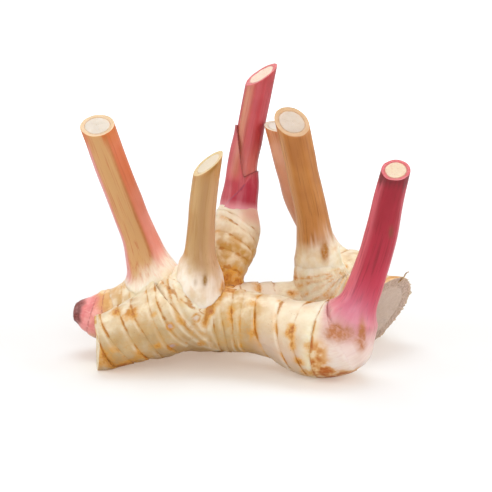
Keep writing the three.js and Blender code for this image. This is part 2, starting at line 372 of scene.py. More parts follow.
def body_rows(start, end, rings):
    """Distances of a limb's rows: even steps, with more packed about each leaf scar."""
    even = np.linspace(start, end, int((end - start) / ROW_PITCH) + 1)
    if len(rings) == 0:
        return even
    clear = np.abs(even[:, None] - rings).min(axis=1) > SCAR_CLEAR
    packed = (rings[:, None] + LIP_ROWS).ravel()
    packed = packed[(packed > start + END_CLEAR) & (packed < end - END_CLEAR)]
    return np.unique(np.r_[even[clear], packed, start, end])


def trimmed(spec, path, angle):
    """Where a limb starts and ends at each angle: at its cuts, or else at the ends of its path."""
    start, end = np.zeros(len(angle)), np.full(len(angle), path.length)
    if "start_cut" in spec:
        start = cut_distances(path, angle, spec["start_cut"], end=False)
    if "end_cut" in spec:
        end = cut_distances(path, angle, spec["end_cut"], end=True)
    return start, end


def raised(path, span, distance, angle, skin, relief, values):
    """A limb: the plain skin raised by the relief, with its colour values and what later steps need."""
    plain, outward, grain = skin
    return {
        "path": path, "span": span, "distance": distance, "angle": np.broadcast_to(angle, distance.shape),
        "grid": plain + relief[..., None] * outward, "outward": outward, "values": values | {"grain": grain},
    }


def make_limb(spec, seed):
    """A ringed limb as a grid of points, with its colour values.

    Point = centre(s) + (radius(s) + relief(s, angle)) * outward(angle), where s is the row's distance plus
    the stray of the leaf scars on either side, shared between them. Relief rises by lip * share^2 along
    each internode and drops behind each leaf scar into a groove that dies away in about a millimetre.
    """
    path = Path(spec["stations"], spec.get("front", FRONT))
    angle = np.linspace(0, 2 * np.pi, spec["sides"], endpoint=False)
    scars = np.array(spec["rings"], float).reshape(-1, 4)
    rings = scars[:, 0]
    start_line, end_line = trimmed(spec, path, angle)
    start, end = start_line.mean(), end_line.mean()
    strays = ring_lines(path, scars, angle, seed)
    knots = np.r_[start, rings, end]
    strays = np.vstack([start_line - start, strays, end_line - end])

    rows = body_rows(start, end, rings)
    knot = np.clip(np.searchsorted(knots, rows, side="right") - 1, 0, len(knots) - 2)
    share = ((rows - knots[knot]) / (knots[knot + 1] - knots[knot]))[:, None]
    distance = rows[:, None] + strays[knot] * (1 - share) + strays[knot + 1] * share
    skin = plain, outward, grain = skin_at(path, distance, angle)

    ahead = rows[:, None] - np.r_[rings, NO_SCAR]
    nearest = np.abs(ahead).argmin(axis=1)
    signed = ahead[np.arange(len(rows)), nearest][:, None]
    dark = np.r_[scars[:, 3], 0][nearest][:, None]
    scarred = 0.62 + 0.9 * lumps(plain, 6.0, seed + 1)
    lip = spec.get("lip", LIP) * np.clip(scarred, 0.25, 1.3) * (0.5 + 0.5 * dark)
    climbs = (knot == 0) | (knot < len(knots) - 2)
    rise = np.where(climbs[:, None], share**2, 0)
    relief = lip * (rise - 0.35) + 0.35 * np.sin(np.pi * share)
    relief = relief - 0.25 * lip * np.where(signed > 0, np.exp(-np.abs(signed) / 0.9), 0)
    relief = relief + 0.9 * lumps(plain, 13.0, 11) + 0.35 * lumps(plain, 5.0, 12)
    relief = relief + 0.13 * lumps(grain * (1, 1, 0.22), 1.7, 13) + 0.1 * lumps(plain, 1.9, 14)

    patchy = np.clip(0.15 + 1.7 * lumps(plain, 6.5, seed + 2), 0, 1)
    behind = np.exp(-np.abs(signed) / np.where(signed < 0, 2.4, 0.9))
    chipped = np.clip(0.6 + 1.1 * lumps(plain, 2.2, seed + 3), 0.1, 1)
    width = 0.42 + 0.3 * np.clip(scarred, 0, 1)
    cloud = 0.5 + 0.5 * lumps(plain, 9.0, seed + 4)
    facing_up = outward[..., 2]
    blank = ("foot", "blush", "skin", "cut", "core", "dry", "lilac")
    values = {key: np.zeros(distance.shape) for key in blank}
    values["scar"] = (0.25 + 0.75 * dark) * bell(signed - 0.1, width) * np.clip(scarred, 0.35, 1) * chipped
    values["stain"] = (0.35 + 0.65 * dark) * behind * patchy
    values["straw"] = spec["straw"] * (0.6 + 0.8 * cloud) + 0.4 * np.exp(-np.abs(signed) / 1.6)
    # Painted light: a highlight on skin that faces up, and shade on skin that faces down.
    values["upper"] = ease(facing_up, 0.12, 0.9)
    values["under"] = 1 - ease(facing_up, -0.85, -0.1)
    values["pale"] = 0.5 * bell(signed + 1.4, 0.8) * np.clip(0.4 + lumps(plain, 5.0, seed + 5), 0, 1)
    return raised(path, (start, end), distance, angle, skin, relief, values)


def flat_end(limb, cut, at_start, frayed=0.0):
    """Rows that close a limb with its cut face: rim + (centre - rim) * share on the plane, a little uneven.

    A frayed rim's points stray along the limb by up to this many mm, which leaves it in fine teeth.
    """
    row = 0 if at_start else -1
    along = limb["path"].at(limb["distance"][row])[2]
    rim = onto_plane(limb["grid"][row], along, cut)
    face = rim + (rim.mean(axis=0) - rim) * FACE_ROWS[:, None, None]
    normal = unit(np.array(cut["normal"], float))
    groove = 0.12 * bell(FACE_ROWS - 0.03, 0.03) - 0.25 * bell(FACE_ROWS - 0.25, 0.025)
    height = groove[:, None] + 0.16 * lumps(face, 2.2, 21) + 0.22 * lumps(face, 7.0, 22)
    face = face + normal * (height * ease(FACE_ROWS, 0, 0.05)[:, None])[..., None]
    sheet = {"cut": 1.0, "core": FACE_ROWS[:, None], "dry": 1.0 if frayed else 0.0}
    limb["grid"][row] = rim - along * (frayed * lumps(rim * (1, 1, 1.6), 1.1, 23))[..., None]
    add_rows(limb, face, sheet, at_start)


def round_end(limb, at_start, dome=0.55):
    """Closes a limb with a dome: its section scaled by q, slid out by dome * radius * sqrt(1 - q^2)."""
    row = 0 if at_start else -1
    centre, radius, along, *_ = limb["path"].at(limb["distance"][row])
    share = DOME_ROWS[:, None, None]
    out = (-1 if at_start else 1) * along * radius[:, None] * dome
    cap = centre + (limb["grid"][row] - centre) * share + out * np.sqrt(1 - share**2)
    add_rows(limb, cap, {}, at_start)


def add_rows(limb, extra, changes, at_start):
    """Puts rows before or after a limb's grid. Their values repeat the end row's, but for the changes."""
    row = 0 if at_start else -1
    count = len(extra)
    order = slice(None, None, -1) if at_start else slice(None)

    def both(new, old):
        return np.concatenate([new[order], old] if at_start else [old, new])

    for name, old in limb["values"].items():
        new = np.repeat(old[row][None], count, axis=0).copy()
        if name in changes:
            new[:] = changes[name]
        limb["values"][name] = both(new, old)
    limb["grid"] = both(extra, limb["grid"])
    for name in ("distance", "angle", "outward"):
        limb[name] = both(np.repeat(limb[name][row][None], count, axis=0), limb[name])


def fillet(gap, reach):
    """How far a surface moves outwards at a gap from another: (sqrt(reach) - sqrt(gap))^2 up to reach / 4."""
    return (math.sqrt(reach) - np.sqrt(np.clip(gap, reach / 4, reach))) ** 2


def blend_limbs(limbs, reach):
    """Fills the corners where limbs meet, by moving each surface outwards near the others.

    A point moves by the fillet of its distance from the nearest other limb, which joins two surfaces at
    right angles by one round.
    """
    for name, limb in limbs.items():
        others = [other for key, other in limbs.items() if key != name]
        gap = np.min([other["path"].near(limb["grid"], *other["span"]) for other in others], axis=0)
        limb["join"] = fillet(gap, reach)
    for limb in limbs.values():
        limb["grid"] = limb["grid"] + limb["outward"] * limb["join"][..., None]


# ---- meshes ----

FIELDS = {"FLOAT": "value", "FLOAT_VECTOR": "vector"}
SHARP_ANGLE = math.radians(58)


def closed_skin(name, grid, values):
    """A closed mesh from a grid (rows, sides, xyz) in mm that runs round in its second direction.

    The first and last rows are drawn together at poles. The values are kept on the face corners.
    """
    rows, sides = grid.shape[:2]
    corner = np.arange(rows * sides).reshape(rows, sides)
    following = np.roll(corner, -1, axis=1)
    quads = np.stack([corner[:-1], following[:-1], following[1:], corner[1:]], -1).reshape(-1, 4)
    first, last = np.full(sides, rows * sides), np.full(sides, rows * sides + 1)
    fans = np.vstack([
        np.stack([first, following[0], corner[0]], -1),
        np.stack([last, corner[-1], following[-1]], -1),
    ])
    points = np.vstack([grid.reshape(-1, 3), grid[0].mean(axis=0), grid[-1].mean(axis=0)]) * METRES
    mesh = bpy.data.meshes.new(name)
    mesh.from_pydata(points.tolist(), [], quads.tolist() + fans.tolist())
    at = np.zeros(len(mesh.loops), int)
    mesh.loops.foreach_get("vertex_index", at)
    for key, given in values.items():
        given = given.reshape(rows, sides, -1)
        flat = np.vstack([given.reshape(rows * sides, -1), given[0].mean(axis=0), given[-1].mean(axis=0)])
        kind = "FLOAT_VECTOR" if flat.shape[1] == 3 else "FLOAT"
        mesh.attributes.new(key, kind, "CORNER").data.foreach_set(FIELDS[kind], flat[at].ravel())
    return mesh


def without_fins(mesh):
    """The mesh in triangles, less the slivers of its making.

    Corners nearer than a tenth of a micrometre become one. Triangles that have no area then, and pairs that
    lie back to back, are left out.
    """
    places = np.empty(len(mesh.vertices) * 3, np.float32)
    mesh.vertices.foreach_get("co", places)
    places = places.reshape(-1, 3)
    at = np.empty(len(mesh.loops), int)
    mesh.loops.foreach_get("vertex_index", at)
    mesh.calc_loop_triangles()
    corners = np.empty(len(mesh.loop_triangles) * 3, int)
    mesh.loop_triangles.foreach_get("loops", corners)
    _, first, same = np.unique(np.round(places, 7), axis=0, return_index=True, return_inverse=True)
    faces = same.ravel()[at[corners]].reshape(-1, 3)
    ordered = np.sort(faces, axis=1)
    flat = (ordered[:, 0] == ordered[:, 1]) | (ordered[:, 1] == ordered[:, 2])
    _, which, times = np.unique(ordered, axis=0, return_inverse=True, return_counts=True)
    kept = ~flat & (times[which.ravel()] != 2)
    corners = corners.reshape(-1, 3)[kept].ravel()
    used, faces = np.unique(faces[kept], return_inverse=True)
    off_top_light = bpy.data.meshes.new(mesh.name)
    off_top_light.from_pydata(places[first[used]].tolist(), [], faces.reshape(-1, 3).tolist())
    for given in mesh.attributes:
        kind = given.data_type
        if given.domain == "CORNER" and kind in FIELDS:
            values = np.empty(len(at) * (3 if kind == "FLOAT_VECTOR" else 1), np.float32)
            given.data.foreach_get(FIELDS[kind], values)
            kept_values = values.reshape(len(at), -1)[corners].ravel()
            off_top_light.attributes.new(given.name, kind, "CORNER").data.foreach_set(FIELDS[kind], kept_values)
    return off_top_light


def joined(name, meshes):
    """One mesh from several closed ones: their union, with the values carried over."""
    objects = [bpy.data.objects.new(f"{name}_part", mesh) for mesh in meshes]
    for part in objects:
        bpy.context.collection.objects.link(part)
    for part in objects[1:]:
        join = objects[0].modifiers.new("join", "BOOLEAN")
        join.operation = "UNION"
        join.solver = "MANIFOLD"
        join.object = part
    union = bpy.data.meshes.new_from_object(objects[0].evaluated_get(bpy.context.evaluated_depsgraph_get()))
    whole = without_fins(union)
    bpy.data.meshes.remove(union)
    for part in objects:
        mesh = part.data
        bpy.data.objects.remove(part)
        bpy.data.meshes.remove(mesh)
    whole.name = name
    return whole


def add_piece(name, mesh, material, slot, replaces=True):
    """Puts a finished mesh into the scene as a piece of the root."""
    mesh.polygons.foreach_set("use_smooth", np.ones(len(mesh.polygons), bool))
    mesh.set_sharp_from_angle(angle=SHARP_ANGLE)
    mesh.materials.clear()
    mesh.materials.append(material)
    piece = bpy.data.objects.new(name, mesh)
    bpy.context.collection.objects.link(piece)
    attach(piece, "root")
    if replaces:
        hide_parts(slot)


# ---- materials ----

class Number:
    """A number that the material works out; arithmetic on it adds Math nodes."""

    def __init__(self, look, socket):
        self.look, self.socket = look, socket

    def _math(self, operation, *values):
        return self.look.node("ShaderNodeMath", {"operation": operation}, dict(enumerate(values)))

    def __add__(self, other):
        return self._math("ADD", self, other)

    def __sub__(self, other):
        return self._math("SUBTRACT", self, other)

    def __rsub__(self, other):
        return self._math("SUBTRACT", other, self)

    def __mul__(self, other):
        return self._math("MULTIPLY", self, other)

    __radd__ = __add__
    __rmul__ = __mul__


def tone(red, green, blue):
    """A colour written as 0 to 255 values, as the linear colour that the nodes use."""
    written = np.array([red, green, blue]) / 255
    linear = np.where(written <= 0.04045, written / 12.92, ((written + 0.055) / 1.055) ** 2.4)
    return (*linear, 1.0)


class Nodes:
    """A node tree, of a material or of the world."""

    def __init__(self, tree):
        self.tree = tree

    def node(self, kind, settings=None, values=None, output=0):
        """Adds a node: its settings first, then the values or links of its sockets."""
        made = self.tree.nodes.new(kind)
        for key, value in (settings or {}).items():
            setattr(made, key, value)
        for key, value in (values or {}).items():
            if isinstance(value, Number):
                self.tree.links.new(value.socket, made.inputs[key])
            else:
                made.inputs[key].default_value = value
        return Number(self, made.outputs[output])

    def value(self, name):
        """One of the numbers that the mesh carries."""
        return self.node("ShaderNodeAttribute", {"attribute_name": name}, output="Fac")

    def stretched(self, name, scale):
        """One of the mesh's own vectors, scaled on each axis."""
        vector = self.node("ShaderNodeAttribute", {"attribute_name": name}, output="Vector")
        return self.node("ShaderNodeVectorMath", {"operation": "MULTIPLY"}, {0: vector, 1: scale})

    def place(self):
        """Object coordinates, in metres."""
        return self.node("ShaderNodeTexCoord", output="Object")

    def noise(self, scale, vector=None, detail=3.0, rough=0.55):
        """Cloudy unevenness between 0 and 1."""
        values = {"Vector": vector or self.place(), "Scale": scale, "Detail": detail, "Roughness": rough}
        return self.node("ShaderNodeTexNoise", None, values)

    def between(self, value, low, high, start=0.0, end=1.0):
        """The value eased from start at low to end at high."""
        settings = {"interpolation_type": "SMOOTHSTEP"}
        return self.node("ShaderNodeMapRange", settings, {0: value, 1: low, 2: high, 3: start, 4: end})

    def mix(self, below, above, share):
        """One colour laid over another, each from nodes, three written values or four linear ones."""
        colours = {6: below, 7: above}
        for socket, colour in colours.items():
            if not isinstance(colour, Number) and len(colour) == 3:
                colours[socket] = tone(*colour)
        settings = {"data_type": "RGBA", "clamp_factor": True}
        return self.node("ShaderNodeMix", settings, {0: share} | colours, output=2)

    def layered(self, colour, layers):
        """A colour with others laid over it in turn, each with its share."""
        for above, share in layers:
            colour = self.mix(colour, above, share)
        return colour

    def bump(self, height, depth, strength):
        """Fine relief of this depth in metres."""
        return self.node("ShaderNodeBump", None, {"Height": height, "Distance": depth, "Strength": strength})


class Look(Nodes):
    """A material and the nodes that colour it."""

    def __init__(self, name, **fixed):
        self.material = bpy.data.materials.new(name)
        self.material.use_nodes = True
        super().__init__(self.material.node_tree)
        self.shader = self.tree.nodes["Principled BSDF"]
        for socket, value in fixed.items():
            self.shader.inputs[socket.replace("_", " ")].default_value = value

    def finish(self, colour, roughness=None, normal=None, glow=None):
        """Joins the finished colour, roughness, relief and glow to the shader."""
        joins = {"Base Color": colour, "Roughness": roughness, "Normal": normal, "Emission Color": glow}
        for socket, value in joins.items():
            if value is not None:
                self.tree.links.new(value.socket, self.shader.inputs[socket])
        return self.material


# Light goes a few millimetres into the watery flesh. The scale is in metres.
FLESH = {"Subsurface_Weight": 0.35, "Subsurface_Radius": (1.0, 0.8, 0.5), "Subsurface_Scale": 0.004}


def foot_skin(look, light=(250, 240, 216), dark=(236, 216, 174)):
    """The skin where a stem leaves the root, the same on both."""
    return look.mix(light, dark, look.between(look.noise(150.0), 0.35, 0.68))


def rhizome_look():
    """Cream flesh skin with straw fibres, golden leaf scars, orange stains, blush and fibrous cut faces, with
    a painted highlight on top and painted shade underneath.
    """
    look = Look("rhizome_skin", **FLESH)
    value, between = look.value, look.between
    fibres = look.noise(0.9, look.stretched("grain", (1.0, 1.0, 0.1)), 4.0)
    clouds = look.noise(70.0)
    soft = look.noise(210.0, detail=2.0, rough=0.45)
    fine = look.noise(520.0)
    grit = look.noise(1050.0, detail=2.0, rough=0.6)
    # Fibres and grit fade where the painted highlight lies.
    off_top_light = 1 - value("upper") * 0.75
    stain = value("stain") * between(soft, 0.3, 0.66, 0.5, 1.1) * between(grit, 0.3, 0.6, 0.8, 1.1)
    scar = value("scar") * between(fine, 0.3, 0.62, 0.5, 1.0)
    specks = between(look.noise(1500.0, detail=2.0), 0.66, 0.74) * between(soft, 0.42, 0.66)
    fresh = look.mix((240, 222, 188), (226, 198, 152), between(fine, 0.4, 0.66))
    dry = look.layered((204, 178, 160), [
        ((172, 144, 124), between(grit, 0.36, 0.62)),
        ((188, 158, 134), between(clouds, 0.4, 0.62) * 0.6),
        ((212, 192, 176), between(value("core"), 0.24, 0.32) * 0.5),
    ])
    colour = look.layered((210, 190, 154), [
        ((184, 154, 108), between(clouds, 0.36, 0.66)),
        # A painted highlight on skin that faces up, then painted shade on skin that faces down.
        ((255, 245, 218), value("upper") * between(soft, 0.25, 0.7, 1.0, 0.75)),
        ((186, 140, 90), value("under") * 0.7),
        ((206, 158, 82), value("straw") * between(soft, 0.3, 0.7, 0.4, 1.0)),
        ((204, 160, 102), between(fibres, 0.52, 0.75) * 0.35 * off_top_light),
        ((208, 154, 80), between(grit, 0.48, 0.68) * between(fine, 0.4, 0.6) * 0.5 * off_top_light),
        ((250, 238, 214), value("pale") * 0.85),
        # Pinkish grey in root scar hollows, and painted shade on the front limb's underside.
        ((204, 172, 174), value("lilac") * 0.8),
        ((228, 138, 122), value("blush") * between(clouds, 0.2, 0.7, 0.7, 1.0)),
        ((204, 136, 68), value("skin") * between(soft, 0.3, 0.68, 0.35, 1.0)),
        (foot_skin(look), value("foot")),
        ((222, 158, 52), between(stain, 0.03, 0.75) * 0.85),
        ((176, 92, 14), between(stain, 0.55, 1.1) * between(fine, 0.3, 0.6, 0.5, 0.95)),
        ((196, 130, 40), between(scar, 0.04, 0.42) * 0.85),
        ((128, 74, 24), between(scar, 0.62, 1.0) * 0.8),
        ((158, 106, 56), specks * 0.6),
        (look.mix(fresh, dry, value("dry")), value("cut")),
    ])
    height = fibres * 0.5 + fine * 0.45 + grit * 0.3 - scar * 0.4
    return look.finish(colour, between(soft, 0.3, 0.7, 0.36, 0.52), look.bump(height, 0.0006, 0.6))


def stem_look(name, skin, foot, mark, rim, core, edge, tip,
              stripe=None, flush=None, rust=(180, 98, 26), seam=()):
    """A smooth fibrous stem: skin and stripe colours, a pale foot, marks, and a cut top of rim and core."""
    look = Look(name, **FLESH)
    value, between = look.value, look.between
    fibres = look.noise(1.1, look.stretched("grain", (1.0, 1.0, 0.035)), 4.0)
    clouds = look.noise(55.0, detail=2.0)
    soft = look.noise(230.0, detail=2.0, rough=0.45)
    fine = look.noise(600.0)
    dots = between(look.noise(1700.0, detail=2.0), 0.55, 0.7)
    rusty = value("rust") * between(soft, 0.3, 0.62, 0.4, 1.2)
    inward = value("core")
    ring = between(inward, 0.22, 0.25) - between(inward, 0.25, 0.3)
    face = look.layered(rim, [
        (core, between(inward, 0.2, 0.34)),
        (mark, ring * between(fine, 0.4, 0.6) * 0.5),
        (rim, dots * 0.4),
    ])
    colour = look.layered(skin[0], [
        (skin[1], between(clouds, 0.35, 0.65)),
        *([(stripe, value("stripe"))] if stripe else []),
        (edge, value("edge")),
        (skin[2], between(fibres, 0.5, 0.7) * 0.6),
        (tip, value("tip") * between(fibres, 0.3, 0.6, 0.5, 1.0)),
        (look.mix(*foot, between(fibres, 0.4, 0.7)), value("foot")),
        (foot_skin(look, *seam), value("root")),
        *([(flush, value("flush") * between(clouds, 0.25, 0.65, 0.55, 0.9))] if flush else []),
        ((220, 158, 64), between(rusty, 0.03, 0.65) * 0.85),
        (rust, between(rusty, 0.4, 1.0) * between(fine, 0.3, 0.6, 0.6, 1.0)),
        (mark, value("mark") * between(fine, 0.3, 0.6, 0.7, 1.0)),
        (face, value("cut")),
    ])
    height = fibres * 0.7 + fine * 0.2
    return look.finish(colour, between(fibres, 0.3, 0.7, 0.34, 0.48), look.bump(height, 0.0004, 0.5))


# ---- the rhizome ----

def patch(points, centre, reach):
    """exp(-distance^2) from the centre, the distance measured in the patch's own reach on each axis."""
    return np.exp(-((((points - np.array(centre)) / np.array(reach)) ** 2).sum(axis=-1)))


# Where old roots broke off: [x, y, z, size] in mm in the model's frame.
ROOT_SCARS = np.array([
    [-22.3, -32, 28.3, 1.7], [-34.3, -35.6, 25, 1.7], [-33.7, -33, 14.4, 2], [-20.5, -30.8, 13.7, 1.8],
    [-52, -27, 12, 1.2], [6, 24, 20, 1.8], [-40, 24, 20, 1.8], [48, 34, 18, 2],
])
TORN_BUD = (-52.5, -30.5, 29.5)
# Orange-brown stains: [x, y, z, reach, strength].
STAINS = np.array([
    [-66, -33, 8, 4.5, 1.1], [-57, -30, 2, 6, 1.2], [-53, -30.5, 29, 5, 0.65],
    [-60.5, -26, 28, 3.5, 0.5], [-41.4, -33.5, 29.8, 1.7, 0.7], [-40.5, -35, 15.5, 2.2, 0.9],
    [-48, -31, 6, 6, 0.5], [-60, 0, 32, 6, 0.5], [-9.2, -21, 37, 2.6, 1.1],
    [-12, -26.5, 34, 2.4, 1.1], [-15, -30.5, 30.5, 1.8, 0.8], [-29, -29, 35.5, 1.6, 0.8],
    [-5.4, -32.1, 31, 2, 0.8], [4, -31.2, 35.4, 2.6, 0.9], [2, -37.2, 22.6, 4.2, 0.45],
    [16.6, -32.5, 36.3, 1.4, 0.7], [21, -46.3, 25.5, 3, 0.55], [22.6, -47.9, 19.5, 1.9, 0.8],
    [26.6, -48, 12, 2.2, 0.9], [30, -47, 20, 4, 0.8], [30.5, -44, 6, 4, 1.1],
    [-7.5, 13, 31, 5, 1.1], [24, 7.3, 29, 2.6, 1.2], [41.9, -0.6, 28.5, 2.4, 0.9],
    [75, 3, 37, 6, 0.9], [24.5, 13, 37, 3.5, 0.6],
])
# Where one part of the root folds over the next: points in mm, then the fold's width, depth and darkness.
FOLDS = [
    ([(-8.8, -19.9, 37.5), (-12.5, -26, 35), (-16.5, -31, 31), (-18.3, -33, 25)], 1.2, 0.9, 1),
    ([(-18.1, -33.2, 23), (-15.8, -32, 17), (-13.5, -29, 12)], 0.8, 0.5, 0.5),
    ([(-30.5, -25, 40.5), (-27.5, -28.5, 38.5), (-24.5, -30.5, 34.5)], 0.7, 0.4, 0.8),
    (
        [(-36, -20, 43), (-34.5, -28, 37.5), (-29.7, -34.5, 27.6), (-25.1, -33.7, 21.5),
         (-20.5, -32.3, 16.6), (-17, -31, 13.8)], 0.8, 0.5, 0.7,
    ),
    (
        [(-32.5, -24, 41.5), (-30.8, -29.5, 36), (-27, -32, 30), (-22.5, -33, 24), (-18.5, -32, 19)],
        0.8, 0.4, 0.55,
    ),
    (
        [(-38.5, -26, 38.5), (-35.5, -31.6, 32), (-31.6, -34.8, 25), (-27.5, -33.2, 18.5),
         (-21.4, -31.7, 13.4)], 0.7, 0.35, 0.45,
    ),
    ([(-40.3, -9.9, 38.2), (-35.2, -6.2, 40.7), (-31, -6, 43.5), (-29.5, -6, 50)], 0.9, 0.3, 0.8),
]
FOLD_DEPTH_SHARE = 0.35  # of the distance in depth, so that a fold's line need not lie exactly on the skin
# Leaf scars that fan out from one place on the rear limb: the place, and each scar's angle below level.
FAN_PLACE = (53.6, 20.5, 43.0)
FAN_ANGLES = np.radians([13, 21, 30, 40, 51, 64])


def from_line(points, line):
    """Distance from each point to a bent line, the least over its stretches, with depth made less of."""
    shallow = (1, FOLD_DEPTH_SHARE, 1)
    points, line = points * shallow, np.array(line, float) * shallow
    least = np.full(points.shape[:-1], np.inf)
    for start, end in zip(line[:-1], line[1:]):
        stretch = end - start
        share = np.clip((points - start) @ stretch / (stretch @ stretch), 0, 1)
        least = np.minimum(least, np.linalg.norm(points - start - share[..., None] * stretch, axis=-1))
    return least


def fan_scars(limb):
    """Leaf scars that spread from one place, at set angles below level about it, seen from the front.

    Gives each point's nearness to a scar's line, the stain behind it, the step in the skin, and how far
    the point belongs to the fan at all.
    """
    x, _, z = np.moveaxis(limb["grid"] - np.array(FAN_PLACE), -1, 0)
    away = np.hypot(x, z)
    fall = np.arctan2(-z, -x) + 0.05 * lumps(limb["grid"], 7.0, 81)
    turned_front = ease(-limb["outward"][..., 1], 0.0, 0.35)
    fan = ease(away, 2, 6) * (1 - ease(away, 27, 34)) * turned_front * (x < 0)
    past = fall[..., None] - FAN_ANGLES
    nearest = np.take_along_axis(past, np.abs(past).argmin(axis=-1)[..., None], -1)[..., 0] * away
    step = 0.6 * np.where(nearest > 0, np.exp(-nearest / 1.6), -0.5 * np.exp(nearest / 0.5))
    return fan * bell(nearest, 0.4), fan * np.exp(-np.abs(nearest - 0.6) / 1.1), fan * step, fan


def dress_named(name, limb):
    """Colours along one limb, by its name and the distance along it."""
    points, values, s = limb["grid"], limb["values"], limb["distance"]
    if name == "front":
        # The front limb's end is pale, paler where it faces up as a painted highlight; its front-facing
        # underside turns pinkish grey as painted shade.
        values["pale"] += 0.75 * ease(s, 26, 34) * (0.55 + 0.45 * values["upper"])
        values["lilac"] += 0.5 * ease(s, 20, 34) * patch(limb["outward"], (0, -1, -0.35), (1, 1, 0.5))
        left = s[-1] - s
        values["foot"] = 1 - ease(left, 0, 6)
        values["scar"] += 0.35 * bell(left, 0.6)
        values["stain"] += 0.5 * np.exp(-left / 1.2) * np.clip(0.5 + lumps(points, 5.0, 97), 0, 1)
    if name == "bridge":
        middle = ease(s, 12, 18) * (1 - ease(s, 44, 50))
        values["pale"] += 0.6 * middle
        values["lilac"] += 0.2 * middle
    if name == "bud_arm":
        values["blush"] += 0.1 * ease(s, 20, 25)
        # More painted highlight on the bud arm.
        values["upper"] = np.clip(values["upper"] * 1.3 + 0.15, 0, 1)
    if name == "riser":
        rough = np.clip(0.5 + 1.2 * lumps(points, 2.2, 99), 0, 1)
        values["straw"] += 0.35 * (1 - ease(s, 26, 36))
        values["stain"] += 0.7 * (1 - ease(s, 12, 22))
        values["scar"] += 0.7 * ease(rough, 0.75, 1) * (1 - ease(s, 14, 24))
        values["blush"] += 0.6 * ease(s, 38, 45) * ease(limb["outward"][..., 0], -0.4, 0.7)
        values["pale"] += 0.8 * ease(s, 28, 42)
        # Painted highlight over the riser above its foot, and no painted shade there.
        values["upper"] = np.clip(values["upper"] + 0.85 * ease(s, 13, 24), 0, 1)
        values["under"] *= 1 - ease(s, 16, 26)
    if name == "rear":
        values["skin"] += 0.9 * patch(points, (75, 6, 36), (10, 12, 5))
        values["straw"] *= 1 - ease(s, 24, 34) * 0.6


def dress_limbs(limbs):
    """Adds what belongs to places on the rhizome: colour along limbs, stains, folds, scars and a torn bud.

    A fold is a bell across its line, pressed in. A root scar is a bell at its size from the middle round a
    hollow, and the torn bud a rough bell with a pit.
    """
    for name, limb in limbs.items():
        dress_named(name, limb)
        points, values, flesh = limb["grid"], limb["values"], 1 - limb["values"]["cut"]
        relief = np.zeros(flesh.shape)
        if name in ("rear", "rear_shoulder"):
            scar, stain, step, fan = fan_scars(limb)
            values["scar"] = values["scar"] * (1 - 0.95 * fan) + 0.1 * scar
            values["stain"] = values["stain"] * (1 - 0.95 * fan) + 0.6 * stain
            values["straw"] *= 1 - 0.8 * fan
            # Painted light on the fan's shaded face: the pale colour and painted highlight in full, and no
            # painted shade.
            values["under"] *= 1 - fan
            values["upper"] = np.clip(values["upper"] + fan, 0, 1)
            values["pale"] += fan
            relief += step
        for line, width, depth, dark in FOLDS:
            away = from_line(points, line)
            relief -= depth * bell(away, width)
            values["scar"] = np.clip(values["scar"] + 0.6 * dark * bell(away, 0.7 * width), 0, 1)
            values["stain"] += dark**2 * np.exp(-away / (1.1 * width))
            values["pale"] += 0.55 * dark * bell(away - 2.4 * width, width)
        for x, y, z, size in ROOT_SCARS:
            away = np.linalg.norm(points - (x, y, z), axis=-1)
            rim, hollow = bell(away - size, 0.6), bell(away, 0.75 * size)
            relief += 0.35 * rim - 0.35 * hollow
            values["scar"] = np.clip(values["scar"] + 0.3 * rim, 0, 1)
            values["lilac"] += 1.3 * hollow
            values["stain"] = values["stain"] * (1 - hollow) + 0.45 * rim
        away = np.linalg.norm(points - TORN_BUD, axis=-1)
        rough = lumps(points, 1.5, 71)
        relief += bell(away, 3.4) * (0.9 + 0.8 * rough) - 0.8 * bell(away, 1.1)
        values["scar"] = np.clip(values["scar"] + 1.1 * bell(away, 2.4) * ease(rough, 0.0, 0.3), 0, 1)
        for x, y, z, reach, strength in STAINS:
            values["stain"] += strength * patch(points, (x, y, z), (reach, reach, reach))
        for key in ("stain", "pale", "lilac", "scar"):
            values[key] = np.clip(values[key] * flesh, 0, MOST)
        limb["grid"] = points + limb["outward"] * (relief * flesh)[..., None]


def darken_joins(limbs):
    """Darkens the corners where limbs meet, by how much the blend moved each point."""
    for limb in limbs.values():
        deep = ease(limb["join"], 0.05 * FILLET, 0.25 * FILLET)
        limb["values"]["stain"] = np.clip(limb["values"]["stain"] + 0.12 * deep, 0, MOST)


def torn_skin(points, seed):
    """Where skin is torn round a stem's foot: patches a few millimetres wide."""
    return np.clip(0.3 + 1.4 * lumps(points, 3.5, seed), 0, 1)


def seam_feet(limbs, stems):
    """Lets each stem grow out of the root: a round fills the corner, and both take the foot's skin there.

    The round and the colours fall off with the distance from the other's plain surface. The right stem has
    a bulb between itself and the root, so its own surface stays.
    """
    for limb in limbs.values():
        points, values, flesh = limb["grid"], limb["values"], 1 - limb["values"]["cut"]
        torn = torn_skin(points, 91)
        lift = np.zeros(flesh.shape)
        for name, reach in FEET.items():
            away = stems[name]["path"].near(points, 0, FOOT_LENGTH)
            lift = np.maximum(lift, fillet(away, reach))
            if name != "stem_right":
                paler = (1 - ease(away, 0.3, 7.0)) * flesh
                if name == "stem_front":
                    paler *= 1 - ease(points[..., 0], -16, -11)
                values["foot"] = np.maximum(values["foot"], paler)
            seam = torn * np.exp(-np.abs(away - 1.5) / 1.2) * flesh
            values["stain"] = np.clip(values["stain"] + 0.2 * seam, 0, MOST)
        limb["grid"] = points + limb["outward"] * (lift * flesh)[..., None]
    for name, stem in stems.items():
        if name != "stem_right":
            away = np.min([limb["path"].near(stem["grid"], *limb["span"]) for limb in limbs.values()], axis=0)
            stem["values"]["rooted"] = away
            stem["grid"] = stem["grid"] + stem["outward"] * fillet(away, FEET.get(name, 0))[..., None]


def rest_on_floor(mesh):
    """Presses what would lie below the floor flat against it."""
    places = np.empty(len(mesh.vertices) * 3)
    mesh.vertices.foreach_get("co", places)
    places[2::3] = np.maximum(places[2::3], 0)
    mesh.vertices.foreach_set("co", places)


# ---- stems ----

